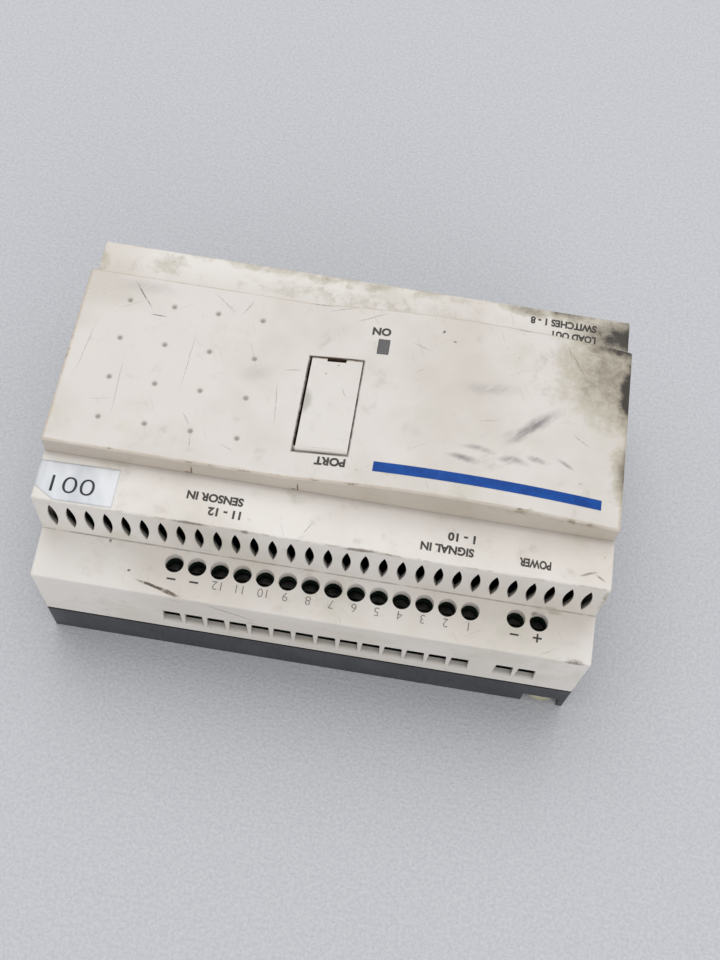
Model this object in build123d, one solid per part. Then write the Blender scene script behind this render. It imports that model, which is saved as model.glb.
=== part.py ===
from build123d import *
import os
from math import atan2, cos, sin

# Compact logic relay (PLC module) for a 35 mm DIN rail, in millimetres.
# +X runs along the front to the reader's right, +Y towards the input terminals,
# +Z out of the front face. z = 0 is the rear plane that lies against a wall or a bench.

# Outer size and the stepped end profile (y, z), the same on both long sides
LENGTH = 124.6
WIDTH = 90.0
HEIGHT = 59.5
HOUSING_LENGTH = 124.2
WALL = 2.0
SIDE_WALL = 1.5
VENT_WALL = 1.1
COVER_HALF = 22.5
COVER_FOOT_Z = 51.65
SHOULDER = (34.1, 51.5)
CREASE = (33.9, 36.2)
SHELF_EDGE = (WIDTH / 2 + 0.02, 35.0)
HOUSING_FOOT = (44.15, 13.6)
BASE_RIM = (43.95, 12.4)
BASE_FOOT_Y = 43.45
EDGE_R = 0.5
RIM_R = 0.45

# Front face: flat on the +X side, a shallow arch along X between the two CROWN_X
FLAT_Z = 56.6
CROWN_X = (-HOUSING_LENGTH / 2, 9.2)
CROWN_BLEND_R = 12.0

# Front cover
COVER_WALL = 1.8
DIMPLE_XS = (21.25, 31.4, 41.4, 51.5)
DIMPLE_YS = (-15.5, -5.33, 4.83, 14.95)
DIMPLE_RIM_R = 0.85
DIMPLE_DEPTH = 0.3
DECK_HALF_X = 58.8
DECK_HALF_Y = 19.8

# Port hatch and its opening in the cover. Both lie in HATCH_PLANE, which is tilted about Y
# to follow the falling end of the arch: x along the hinge, z square to the front face there.
PORT_X = (-2.75, 9.15)
PORT_Y = (-8.15, 15.85)
PORT_HALF = 6.0
HATCH_GAP = 0.15
HATCH_SIDE_GAP = 0.5
HATCH_THICK = 1.5
BARREL_R = 1.15
HATCH_PIN_R = 0.6
HATCH_PIN_CLEARANCE = 0.06
HATCH_AXIS_Y = PORT_Y[1] - HATCH_GAP - BARREL_R
NOTCH_X = (-2.2, 2.1)
NOTCH_DEPTH = 0.8
CHUTE_WALL = 1.2
CHUTE_FOOT_Z = 46.0

# Status window
WINDOW_X = (-7.8, -5.2)
WINDOW_Y = (-14.35, -10.35)

# Ventilation slots: one row in the upright wall under each shoulder
VENT_COUNT = 30
VENT_PITCH = 4.024
VENT_FIRST_X = -58.35
VENT_Z = (38.5, 49.3)
VENT_WIDTH = 2.0

# Terminals: screw holes in the shelf, wire entries in the outer face
PITCH = 5.08
TERMINAL_Y = 37.3
INPUT_FIRST_X = 31.5
INPUT_XS = [INPUT_FIRST_X - PITCH * k for k in range(14)]
SUPPLY_XS = [INPUT_FIRST_X - PITCH * k for k in (15, 16)]
OUTPUT_COUNT = 8
OUTPUT_PITCH = 12.7
OUTPUT_XS = [(k - (OUTPUT_COUNT - 1) / 2) * OUTPUT_PITCH + side * PITCH / 2
             for k in range(OUTPUT_COUNT) for side in (-1, 1)]
SCREW_HOLE_R = 2.08
ENTRY_WIDTH = 3.9
ENTRY_FOOT_WIDTH = 4.5
ENTRY_Z = (17.6, 24.7)
BLOCK_TOP_Z = 32.8
BLOCK_Y = (30.4, 42.4)
BLOCK_FOOT_Z = 16.6

# Terminal screw, rising clamp and contact bar
SCREW_R = 1.3
SCREW_HEAD_R = 1.85
SCREW_HEAD_Z = (29.2, 31.2)
SCREW_TIP_Z = 23.5
THREAD_CLEARANCE = 0.06
CLAMP_WIDTH = 3.8
CLAMP_Y = (34.8, 39.8)
CLAMP_Z = (21.7, 27.8)
CLAMP_TRAVEL = 3.0
BAR_Y = (32.1, 39.6)
BAR_Z = (22.6, 23.4)
BAR_WIDTH = 2.2

# Boards
BOARD_THICK = 1.6
POWER_BOARD_Z = 12.2
POWER_BOARD_TOP = POWER_BOARD_Z + BOARD_THICK
LOGIC_BOARD_Z = 40.0
LOGIC_BOARD_TOP = LOGIC_BOARD_Z + BOARD_THICK
RELAY_SIZE = (10.2, 28.0, 15.6)
RELAY_Y = -14.6

# DIN rail seat: the 35 mm rail's lips sit at the channel's roof
CHANNEL_HALF = 17.75
CHANNEL_DEPTH = 7.6
HOOK_REACH_Y = 16.3
HOOK_Z = (2.4, 6.2)
SPINE_HALF = 21.0
SPINE_TOP_Z = 9.6
BASE_FLOOR = 2.0
CAVITY_HALF_Y = 40.4
SPIGOT_HALF_Y = 42.5

# Marking tape on the shoulder, turned down over the end face
LABEL_X = 44.75
LABEL_Y = (24.4, 33.5)
LABEL_FLAP_Z = 44.5

# Rail latches on the -Y side
LATCH_XS = {"left": -31.0, "right": 31.0}
LATCH_HALF = 7.0
LATCH_Z = (0.5, 3.9)
LATCH_TRAVEL = 4.0
LATCH_NOSE_Y = -16.4
LATCH_END_Y = -44.9
SLIDE_GAP = 0.2

# Retractable fixing lugs for screws at 113 x 100 mm
LUG_X = 56.5
LUG_HOLE_R = 2.0
LUG_OUT_Y = 50.0
LUG_TRAVEL = 10.5
LUG_R = 3.8
LUG_Z = (0.8, 3.8)
LUG_TAIL = 15.5

os.makedirs("parts", exist_ok=True)


def block(x, y, z):
    """Box between the two values of each of x, y and z."""
    size = [b - a for a, b in (sorted(x), sorted(y), sorted(z))]
    centre = [(a + b) / 2 for a, b in (x, y, z)]
    return Pos(*centre) * Box(*size)


def upright(x, y, r, z):
    """Cylinder along Z between the two values of z."""
    return Pos(x, y, (z[0] + z[1]) / 2) * Cylinder(r, z[1] - z[0])


def profile(points, x):
    """Prism along X over the outline of (y, z) points."""
    outline = Plane.YZ.offset(x[0]) * Polygon(*points, align=None)
    return extrude(outline, x[1] - x[0], dir=(1, 0, 0))


def both_sides(points):
    """Outline symmetric about y = 0, from its +Y half listed bottom to top."""
    return points + [(-y, z) for y, z in reversed(points)]


def crowned(foot_z, drop=0.0):
    """Solid between foot_z and the arched front face, or a surface that lies drop below it."""
    half = HOUSING_LENGTH / 2
    top = FLAT_Z - drop
    peak = ((CROWN_X[0] + CROWN_X[1]) / 2, HEIGHT - drop)
    edges = Polyline((CROWN_X[0], top), (-half, foot_z), (half, foot_z), (half, top), (CROWN_X[1], top))
    edges += ThreePointArc((CROWN_X[1], top), peak, (CROWN_X[0], top))
    face = make_face(edges)
    crease = face.vertices().filter_by(lambda v: abs(v.X - CROWN_X[1]) < 0.01 and abs(v.Y - top) < 0.01)
    return extrude(Plane.XZ * fillet(crease, CROWN_BLEND_R), COVER_HALF, both=True)


def front_z(x):
    """Height of the front face over x, from the circle through the arch's two ends and its peak."""
    middle = (CROWN_X[0] + CROWN_X[1]) / 2
    span = (CROWN_X[1] - CROWN_X[0]) / 2
    rise = HEIGHT - FLAT_Z
    r = (span ** 2 + rise ** 2) / (2 * rise)
    return HEIGHT - r + (r ** 2 - (x - middle) ** 2) ** 0.5


def mirrored(shape, side):
    """The shape itself for side +1, and its mirror image across XZ for side -1."""
    return shape if side > 0 else mirror(shape, about=Plane.XZ)


def write(name, *solids):
    """One STEP file per sub-part; several solids share a file as a group."""
    shape = solids[0] if len(solids) == 1 else Compound(list(solids))
    export_step(shape, f"parts/{name}.step")


# ---------------------------------------------------------------- rear base

def latch_pad(x):
    """Thick stretch of floor that holds one latch's slide."""
    return block((x - 10.5, x + 10.5), (-CAVITY_HALF_Y - 1, -SPINE_HALF + 1), (0, 8.0))


def latch_cut(x):
    """T-shaped slide way, nose pocket and pull slot of one latch."""
    g = SLIDE_GAP
    way = block((x - LATCH_HALF - g, x + LATCH_HALF + g), (-WIDTH, -CHANNEL_HALF + 1), (-1, LATCH_Z[1] + g))
    groove = block((x - 8.5 - g, x + 8.5 + g), (-40.3, -20.5), (1.3, 3.1))
    nose = block((x - 6.4, x + 6.4), (-25, -CHANNEL_HALF + 1), (-1, HOOK_Z[1]))
    return way + groove + nose


def spring_post(x):
    """Post in the slide way that the latch spring pushes on."""
    return block((x - 1.6, x + 1.6), (-37.8, -36.3), (0.7, LATCH_Z[1] + 1))


def lug_pad(side):
    """Thick stretch of floor that holds one fixing lug's slide."""
    x = -side * LUG_X
    return block((x - side * 6.6, x + side * 5.8), (side * 19, side * (CAVITY_HALF_Y + 1)), (0, 6.2))


def lug_cut(side):
    """Slide way, side grooves and the wide notch in the outer wall for one lug."""
    x = -side * LUG_X
    g = SLIDE_GAP
    way = block((x - LUG_R - g, x + LUG_R + g), (side * 20.8, side * WIDTH), (-1, LUG_Z[1] + g))
    groove = block((x - LUG_R - 0.8, x + LUG_R + 0.8), (side * 20.8, side * 39.6), (1.4, 3.0))
    notch = block((x - side * 4.2, x + side * 4.5), (side * 41.0, side * WIDTH), (-1, 5.2))
    return way + groove + notch


def rear_base():
    """Dark tray with the rail channel, its fixed hook, and the ways for latches and lugs."""
    half = LENGTH / 2
    outer = profile(both_sides([(BASE_FOOT_Y, 0), BASE_RIM]), (-half, half))
    outer = fillet(outer.edges().filter_by(lambda e: 12.3 < e.length < 12.5), EDGE_R)
    spigot = block((-60.0, 60.0), (-SPIGOT_HALF_Y, SPIGOT_HALF_Y), (BASE_RIM[1] - 1, 16.2))
    solid = outer + spigot
    cavity = block((-58.5, 58.5), (-CAVITY_HALF_Y, CAVITY_HALF_Y), (BASE_FLOOR, 20))
    cavity -= block((-half, half), (-SPINE_HALF, SPINE_HALF), (0, SPINE_TOP_Z))
    for x in LATCH_XS.values():
        cavity -= latch_pad(x)
    for side in (1, -1):
        cavity -= lug_pad(side)
    solid -= cavity
    for x, y in [(-48, -36), (0, -36), (48, -36), (-42, 36), (0, 36), (48, 36), (-48, 0), (0, 0), (48, 0)]:
        solid += upright(x, y, 2.5, (1.0 if abs(y) > 1 else SPINE_TOP_Z - 1, POWER_BOARD_Z))
    solid -= block((-half - 1, half + 1), (-CHANNEL_HALF, HOOK_REACH_Y), (-1, CHANNEL_DEPTH))
    solid -= block((-half - 1, half + 1), (HOOK_REACH_Y - 1, CHANNEL_HALF + 0.9), (HOOK_Z[1], CHANNEL_DEPTH))
    solid -= block((-half - 1, half + 1), (HOOK_REACH_Y - 1, CHANNEL_HALF), (-1, HOOK_Z[0]))
    for x in LATCH_XS.values():
        solid -= latch_cut(x)
        solid += spring_post(x)
    for side in (1, -1):
        solid -= lug_cut(side)
    for side in (1, -1):
        for x in (-24, 0, 24):
            solid += block((x - 4, x + 4), (side * 42.0, side * 43.0), (14.4, 15.1))
    return solid


# ---------------------------------------------------------------- main housing

def vent_cuts(side):
    """Row of slim pointed slots, each bounded by two arcs, through one upright wall."""
    low, high = VENT_Z
    middle = (low + high) / 2
    half = VENT_WIDTH / 2
    lens = make_face(ThreePointArc((0, low), (half, middle), (0, high))
                     + ThreePointArc((0, high), (-half, middle), (0, low)))
    slot = extrude(Plane.XZ.offset(-side * 40) * lens, 9, dir=(0, -side, 0))
    return [Pos(VENT_FIRST_X + VENT_PITCH * k, 0, 0) * slot for k in range(VENT_COUNT)]


def entry_cut(x, side):
    """Wire entry through the outer face: sides that flare downwards and a floor that falls outwards."""
    low, high = ENTRY_Z
    outline = [(side * 40.5, low + 1.3), (side * 42.0, low + 1.1), (side * 44.5, low),
               (side * 46.5, low), (side * 46.5, high), (side * 40.5, high)]
    top, foot = ENTRY_WIDTH / 2, ENTRY_FOOT_WIDTH / 2
    section = Polygon((x - foot, low), (x + foot, low), (x + top, high), (x - top, high), align=None)
    funnel = extrude(Plane.XZ.offset(-side * 40) * section, 8, dir=(0, side, 0))
    return funnel & profile(outline, (x - foot, x + foot))


def main_housing():
    """Cream shell: outer faces, terminal shelves, vent walls and the deck under the cover."""
    half = HOUSING_LENGTH / 2
    outline = both_sides([HOUSING_FOOT, SHELF_EDGE, CREASE, SHOULDER])
    outer = profile(outline, (-half, half))
    ridges = [e for e in outer.edges().filter_by(Axis.X) if e.center().Z > 34 and abs(e.center().Y) > 34]
    outer = fillet(ridges, EDGE_R)
    ends = outer.faces().filter_by(Axis.X)
    rims = [e for f in ends for e in f.edges() if e.center().Z > HOUSING_FOOT[1] + 0.5]
    outer = fillet(rims, RIM_R)
    inner = [(HOUSING_FOOT[0] - SIDE_WALL, HOUSING_FOOT[1] - 1),
             (SHELF_EDGE[0] - SIDE_WALL, SHELF_EDGE[1] - WALL),
             (CREASE[0] - VENT_WALL, CREASE[1] - WALL), (SHOULDER[0] - VENT_WALL, SHOULDER[1] - WALL)]
    solid = outer - profile(both_sides(inner), (-half + WALL, half - WALL))
    solid -= block((-DECK_HALF_X, DECK_HALF_X), (-DECK_HALF_Y, DECK_HALF_Y), (48, 53))
    cuts = vent_cuts(1) + vent_cuts(-1)
    for side, xs in ((1, INPUT_XS + SUPPLY_XS), (-1, OUTPUT_XS)):
        for x in xs:
            cuts.append(upright(x, side * TERMINAL_Y, SCREW_HOLE_R, (32, 38)))
            cuts.append(entry_cut(x, side))
        for x in (-24, 0, 24):
            cuts.append(block((x - 4.3, x + 4.3), (side * 42.3, side * 43.3), (14.1, 15.4)))
    return solid.cut(*cuts)


# ---------------------------------------------------------------- front cover

def dimple(x, y):
    """Ball that leaves one shallow dimple in the flat of the front face."""
    r = (DIMPLE_RIM_R ** 2 + DIMPLE_DEPTH ** 2) / (2 * DIMPLE_DEPTH)
    return Pos(x, y, FLAT_Z - DIMPLE_DEPTH + r) * Sphere(r)


def hatch_plane():
    """Plane on the front face over the port, tilted with the chord between the port's two ends."""
    x0, x1 = PORT_X
    tilt = atan2(front_z(x0) - FLAT_Z, x1 - x0)
    origin = ((x0 + x1) / 2, 0, (front_z(x0) + FLAT_Z) / 2)
    return Plane(origin=origin, x_dir=(cos(tilt), 0, -sin(tilt)), z_dir=(sin(tilt), 0, cos(tilt)))


def hinge_rod(r, half):
    """Cylinder of radius r along the hatch's hinge line, in the hatch's own plane."""
    return Pos(0, HATCH_AXIS_Y, -BARREL_R) * Rot(0, 90, 0) * Cylinder(r, 2 * half)


def cover_plate():
    """Arched plate with a downturned rim and rounded edges."""
    half = HOUSING_LENGTH / 2
    outer = crowned(COVER_FOOT_Z)
    outer = fillet(outer.edges().filter_by(Axis.Z), 0.6)
    rim = [e for e in outer.edges() if e.center().Z > FLAT_Z - 0.1
           and (abs(e.center().Y) > 1 or abs(e.center().X) > half - 1)]
    outer = fillet(rim, 0.55)
    inside = block((-half + COVER_WALL, half - COVER_WALL), (-COVER_HALF + COVER_WALL,
                   COVER_HALF - COVER_WALL), (COVER_FOOT_Z - 1, HEIGHT))
    return outer - (inside & crowned(COVER_FOOT_Z - 2, WALL))


def cover_skirt():
    """Rectangular wall that drops through the housing's deck, with snap barbs under it."""
    skirt = block((-58.5, 58.5), (-19.5, 19.5), (48.3, HEIGHT))
    skirt -= block((-57.2, 57.2), (-18.2, 18.2), (47.0, HEIGHT + 1))
    for x in (-45, 0, 45):
        for side in (1, -1):
            skirt += block((x - 4, x + 4), (side * 19.2, side * 20.5), (48.3, 49.3))
    return skirt & crowned(47.0, WALL - 0.5)


def port_walls():
    """Upright walls round the port, thickened where the hatch's pins turn."""
    x0, x1 = PORT_X
    y0, y1 = PORT_Y
    walls = block((x0 - CHUTE_WALL, x1 + CHUTE_WALL), (y0 - CHUTE_WALL, y1 + CHUTE_WALL),
                  (CHUTE_FOOT_Z, HEIGHT))
    for side in (1, -1):
        boss = block((side * PORT_HALF, side * (PORT_HALF + 2.6)),
                     (HATCH_AXIS_Y - 2, y1 + CHUTE_WALL), (-3.0, 0))
        walls += hatch_plane() * boss
    return walls & crowned(CHUTE_FOOT_Z - 1, WALL - 0.5)


def front_cover():
    """Raised front lid: dimples, status window, and the walled port under the hatch."""
    solid = cover_plate() + cover_skirt() + port_walls()
    solid -= block(PORT_X, PORT_Y, (CHUTE_FOOT_Z - 1, FLAT_Z - 1))
    solid -= hatch_plane() * block((-PORT_HALF, PORT_HALF), PORT_Y, (-2.8, 4))
    solid -= hatch_plane() * hinge_rod(HATCH_PIN_R + HATCH_PIN_CLEARANCE, PORT_HALF + 1.4)
    solid -= block(WINDOW_X, WINDOW_Y, (HEIGHT - 2 * WALL - 1, HEIGHT + 1))
    return solid.cut(*[dimple(x, y) for x in DIMPLE_XS for y in DIMPLE_YS])


def port_hatch():
    """Flap over the port: plate, rolled hinge end with two pins, finger notch and guide tongue."""
    x = (-PORT_HALF + HATCH_GAP, PORT_HALF - HATCH_SIDE_GAP)
    foot_y = PORT_Y[0] + HATCH_GAP
    plate = block(x, (foot_y, HATCH_AXIS_Y), (-HATCH_THICK, 2))
    tongue = block((NOTCH_X[0] + 0.4, NOTCH_X[1] - 0.4), (foot_y + 1.05, foot_y + 2.05), (-3.6, -1))
    barrel = Pos((x[0] + x[1]) / 2, 0, 0) * hinge_rod(BARREL_R, (x[1] - x[0]) / 2)
    notch = block(NOTCH_X, (foot_y - 1, foot_y + NOTCH_DEPTH), (-3, 3))
    plate = (hatch_plane() * (plate - notch)) & crowned(50)
    return plate + hatch_plane() * (tongue + barrel + hinge_rod(HATCH_PIN_R, PORT_HALF + 1.2))


def status_light_guide():
    """Smoked guide that carries the lamp's light to the window, with a flange behind the cover."""
    x = (WINDOW_X[0] + 0.1, WINDOW_X[1] - 0.1)
    y = (WINDOW_Y[0] + 0.1, WINDOW_Y[1] - 0.1)
    stem = block(x, y, (44.2, HEIGHT)) & crowned(44, 0.15)
    flange = block((x[0] - 1.2, x[1] + 1.0), (y[0] - 1.0, y[1] + 0.9), (54.9, HEIGHT))
    return stem + (flange & crowned(50, WALL + 0.05))


def user_label():
    """Strip of marking tape on the +Y shoulder, turned down over the end face."""
    thick = 0.12
    end = HOUSING_LENGTH / 2
    top = SHOULDER[1]
    outer = block((LABEL_X, end + thick), LABEL_Y, (LABEL_FLAP_Z, top + thick))
    outer = fillet(outer.edges().filter_by(Axis.Y).sort_by(lambda e: e.center().X + e.center().Z)[-1],
                   RIM_R + thick)
    inner = block((LABEL_X - 1, end), LABEL_Y, (LABEL_FLAP_Z - 1, top))
    inner = fillet(inner.edges().filter_by(Axis.Y).sort_by(lambda e: e.center().X + e.center().Z)[-1], RIM_R)
    return outer - inner


# ---------------------------------------------------------------- rail latches and fixing lugs

def rail_latch(x):
    """Slide with a nose for the rail's lip, side flanges, a spring window and a pull eye."""
    body = block((x - LATCH_HALF, x + LATCH_HALF), (LATCH_END_Y, LATCH_NOSE_Y - 2), LATCH_Z)
    nose = profile([(LATCH_NOSE_Y - 4, LATCH_Z[0]), (LATCH_NOSE_Y - 2.2, LATCH_Z[0]), (LATCH_NOSE_Y, 4.4),
                    (LATCH_NOSE_Y, 5.9), (LATCH_NOSE_Y - 4, 5.9)], (x - 6, x + 6))
    flange = block((x - 8.5, x + 8.5), (-36, -21), (1.5, 2.9))
    window = block((x - 2.1, x + 2.1), (-38.2, -26), (0, 5))
    eye = block((x - 2.5, x + 2.5), (-44.0, -42.2), (0, 5))
    return body + nose + flange - window - eye


def latch_spring(x):
    """Compression spring along Y between the base's post and the latch's window."""
    wire_r = 0.2
    mean_r = 1.25
    length = 9.6
    path = Helix(pitch=length / 8, height=length, radius=mean_r)
    start = Plane(origin=path @ 0, z_dir=path % 0)
    coil = sweep(start * Circle(wire_r), path, is_frenet=True)
    return Pos(x, -36.1 + wire_r, 2.3) * Rot(-90, 0, 0) * coil


def fixing_lug(side):
    """Pull-out lug with a screw hole in its round end and two guide ribs at its tail."""
    x = -side * LUG_X
    hole_y = side * (LUG_OUT_Y - LUG_TRAVEL)
    tail_y = hole_y - side * LUG_TAIL
    solid = block((x - LUG_R, x + LUG_R), (tail_y, hole_y), LUG_Z) + upright(x, hole_y, LUG_R, LUG_Z)
    solid += block((x - LUG_R - 0.6, x + LUG_R + 0.6), (tail_y, tail_y + side * 4), (1.6, 2.8))
    return solid - upright(x, hole_y, LUG_HOLE_R, (0, 5))


# ---------------------------------------------------------------- terminals

def terminal_block(xs, side):
    """Green moulding with a screw well, clamp chamber and wire funnel for each terminal."""
    x0, x1 = min(xs) - PITCH / 2, max(xs) + PITCH / 2
    solid = block((x0, x1), BLOCK_Y, (BLOCK_FOOT_Z, BLOCK_TOP_Z))
    solid += block((x0 + 0.5, x1 - 0.5), (30.9, 39.5), (POWER_BOARD_TOP, BLOCK_FOOT_Z + 1))
    cuts = []
    for x in xs:
        cuts.append(upright(x, TERMINAL_Y, SCREW_HEAD_R + 0.12, (29.0, BLOCK_TOP_Z + 1)))
        cuts.append(upright(x, TERMINAL_Y, SCREW_R + 0.2, (27, 30)))
        cuts.append(block((x - 2.05, x + 2.05), (33.6, BLOCK_Y[1] + 1), (18.4, 28.0)))
        cuts.append(block((x - 1.25, x + 1.25), (BAR_Y[0] - 0.1, 34.4),
                          (POWER_BOARD_TOP - 1, BAR_Z[1] + 0.1)))
    return mirrored(solid.cut(*cuts), side)


def terminal_screw(x, side):
    """Slotted clamp screw; its head stays in the well and its tip meets the contact bar."""
    solid = upright(x, TERMINAL_Y, SCREW_HEAD_R, SCREW_HEAD_Z)
    solid += upright(x, TERMINAL_Y, SCREW_R, (SCREW_TIP_Z, SCREW_HEAD_Z[0] + 0.5))
    solid -= block((x - 2.2, x + 2.2), (TERMINAL_Y - 0.35, TERMINAL_Y + 0.35), (SCREW_HEAD_Z[1] - 0.9, 36))
    return mirrored(solid, side)


def terminal_clamp(x, side):
    """Rising clamp: a folded metal ring that the screw lifts against the contact bar."""
    half = CLAMP_WIDTH / 2
    solid = block((x - half, x + half), CLAMP_Y, CLAMP_Z)
    solid -= block((x - half + 0.5, x + half - 0.5), (30, 45), (CLAMP_Z[0] + 0.8, CLAMP_Z[1] - 1.2))
    solid -= upright(x, TERMINAL_Y, SCREW_R + THREAD_CLEARANCE, (CLAMP_Z[1] - 2, CLAMP_Z[1] + 1))
    return mirrored(solid, side)


def terminal_contact(x, side):
    """Bent contact bar: lies through the clamp and runs down to the power board."""
    bar = block((x - BAR_WIDTH / 2, x + BAR_WIDTH / 2), BAR_Y, BAR_Z)
    leg = block((x - BAR_WIDTH / 2, x + BAR_WIDTH / 2), (BAR_Y[0], BAR_Y[0] + 0.8),
                (POWER_BOARD_TOP, BAR_Z[1]))
    return mirrored(bar + leg, side)


# ---------------------------------------------------------------- boards and their parts

def board(x, y, z):
    """Circuit board with rounded corners."""
    solid = block(x, y, (z, z + BOARD_THICK))
    return fillet(solid.edges().filter_by(Axis.Z), 1.5)


def board_spacers():
    """Hexagonal pillars that carry the logic board above the power board."""
    z = (POWER_BOARD_TOP, LOGIC_BOARD_Z)
    return [extrude(Plane.XY.offset(z[0]) * Pos(x, y) * RegularPolygon(2.6, 6), z[1] - z[0])
            for x in (-54, 54) for y in (-19, 19)]


def link_header():
    """Strip on the power board with two rows of tall pins that reach the logic board."""
    solid = block((-12.7, 12.7), (4.0, 9.0), (POWER_BOARD_TOP, POWER_BOARD_TOP + 9))
    for k in range(10):
        for y in (5.23, 7.77):
            x = (k - 4.5) * 2.54
            solid += block((x - 0.32, x + 0.32), (y - 0.32, y + 0.32),
                           (POWER_BOARD_TOP + 8, LOGIC_BOARD_Z - 1))
    return solid


def link_socket():
    """Socket strip under the logic board that takes the tall pins."""
    solid = block((-12.7, 12.7), (4.0, 9.0), (LOGIC_BOARD_Z - 8.5, LOGIC_BOARD_Z))
    cuts = []
    for k in range(10):
        for y in (5.23, 7.77):
            x = (k - 4.5) * 2.54
            cuts.append(block((x - 0.4, x + 0.4), (y - 0.4, y + 0.4),
                              (LOGIC_BOARD_Z - 9, LOGIC_BOARD_Z - 0.5)))
    return solid.cut(*cuts)


def relay(k):
    """Sealed power relay, one for each output."""
    x = (k - (OUTPUT_COUNT - 1) / 2) * OUTPUT_PITCH
    w, d, h = RELAY_SIZE
    solid = block((x - w / 2, x + w / 2), (RELAY_Y - d / 2, RELAY_Y + d / 2),
                  (POWER_BOARD_TOP, POWER_BOARD_TOP + h))
    return chamfer(solid.faces().sort_by(Axis.Z)[-1].edges(), 0.5)


def chip(x, y, z, width, depth, legs):
    """Flat chip: a low body with a row of bent legs along both of its long sides."""
    body = block((x - width / 2, x + width / 2), (y - depth / 2, y + depth / 2), (z + 0.2, z + 1.9))
    pitch = width / legs
    for k in range(legs):
        leg_x = x + (k - (legs - 1) / 2) * pitch
        for side in (1, -1):
            edge = y + side * depth / 2
            body += block((leg_x - pitch / 4, leg_x + pitch / 4), (edge - side * 0.5, edge + side * 1.0),
                          (z, z + 0.4))
    return body


def can_capacitor(x, y, r, height):
    """Electrolytic capacitor can with the crimped neck above its base."""
    z0 = POWER_BOARD_TOP
    solid = upright(x, y, r, (z0, z0 + height))
    neck = upright(x, y, r + 1, (z0 + 1.6, z0 + 2.4)) - upright(x, y, r - 0.4, (z0 + 1.0, z0 + 3.0))
    return fillet((solid - neck).edges().sort_by(Axis.Z)[-1], 0.5)


def power_inductor():
    """Drum core choke: two flanges with the winding between them."""
    z0 = POWER_BOARD_TOP
    x, y = -30.0, 18.0
    return upright(x, y, 5.5, (z0, z0 + 1.5)) + upright(x, y, 4.6, (z0 + 1, z0 + 9)) + upright(
        x, y, 5.5, (z0 + 8.5, z0 + 10))


def supply_varistor():
    """Surge absorber: a coated disc standing on two leads."""
    z0 = POWER_BOARD_TOP
    disc = Pos(-47, 21.5, z0 + 5.5) * Rot(90, 0, 0) * Cylinder(3.5, 3.0)
    leads = [upright(-47 + dx, 21.5, 0.4, (z0, z0 + 4)) for dx in (-2.0, 2.0)]
    return disc + leads[0] + leads[1]


def supply_fuse():
    """Tubular fuse: an insulating barrel with a metal cap at each end, on short leads."""
    z0 = POWER_BOARD_TOP
    barrel = Pos(-43, 27, z0 + 3.2) * Rot(0, 90, 0) * Cylinder(2.3, 9)
    leads = [upright(-43 + dx, 27, 0.4, (z0, z0 + 3)) for dx in (-3.8, 3.8)]
    return barrel + leads[0] + leads[1]


def regulator():
    """Upright power transistor package with its metal tab and three leads."""
    z0 = POWER_BOARD_TOP
    solid = block((-19, -9), (20.0, 22.6), (z0 + 3, z0 + 12))
    solid += block((-19, -9), (22.4, 23.6), (z0 + 3, z0 + 18))
    for x in (-16.54, -14, -11.46):
        solid += block((x - 0.4, x + 0.4), (21.0, 21.5), (z0, z0 + 4))
    return solid - Pos(-14, 23, z0 + 15) * Rot(90, 0, 0) * Cylinder(1.8, 4)


def input_filters():
    """Row of small coated filter capacitors, one for each input channel."""
    z0 = POWER_BOARD_TOP
    return [block((x - 1.2, x + 1.2), (26.0, 28.0), (z0, z0 + 5.0)) for x in INPUT_XS[2:]]


def port_connector():
    """Socket body at the foot of the port, with a keyway and two rows of contact holes."""
    z0 = LOGIC_BOARD_TOP
    solid = block((-1.6, 7.8), (-6.5, 11.5), (z0, z0 + 6.6))
    solid -= block((-0.4, 6.6), (-5.3, 10.3), (z0 + 2.0, z0 + 8))
    return solid - block((2.2, 4.0), (10, 12), (z0 + 3.0, z0 + 8))


def port_contacts():
    """Gilt contact pins that stand in the port's socket body."""
    z0 = LOGIC_BOARD_TOP
    return [block((x - 0.32, x + 0.32), (y - 0.32, y + 0.32), (z0 + 2.0, z0 + 5.8))
            for x in (1.83, 4.37) for y in [2.5 + (k - 2.5) * 2.54 for k in range(6)]]


def crystal():
    """Flat can that holds the clock crystal."""
    solid = block((-24, -13), (12.0, 16.5), (LOGIC_BOARD_TOP, LOGIC_BOARD_TOP + 3.5))
    return fillet(solid.edges().filter_by(Axis.Z), 2.2)


write("rear_base", rear_base())
write("main_housing", main_housing())
write("front_cover", front_cover())
write("port_hatch", port_hatch())
write("status_light_guide", status_light_guide())
write("user_label", user_label())
for name, x in LATCH_XS.items():
    write(f"rail_latch_{name}", rail_latch(x))
    write(f"latch_spring_{name}", latch_spring(x))
write("fixing_lug_input_side", fixing_lug(1))
write("fixing_lug_output_side", fixing_lug(-1))

write("power_board", board((-58.0, 58.0), (-40.0, 40.0), POWER_BOARD_Z))
write("logic_board", board((-56.5, 56.5), (-24.0, 24.0), LOGIC_BOARD_Z))
write("board_spacers", *board_spacers())
write("link_header", link_header())
write("link_socket", link_socket())

for name, xs, side in (("input", INPUT_XS, 1), ("supply", SUPPLY_XS, 1), ("output", OUTPUT_XS, -1)):
    write(f"{name}_terminal_block", terminal_block(xs, side))
    write(f"{name}_contacts", *[terminal_contact(x, side) for x in xs])
for name, xs, side in (("input", INPUT_XS, 1), ("output", OUTPUT_XS, -1)):
    write(f"{name}_clamps", *[terminal_clamp(x, side) for x in xs])
    write(f"{name}_screws", *[terminal_screw(x, side) for x in xs])
for name, x in zip(("minus", "plus"), SUPPLY_XS):
    write(f"supply_clamp_{name}", terminal_clamp(x, 1))
    write(f"supply_screw_{name}", terminal_screw(x, 1))

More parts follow.
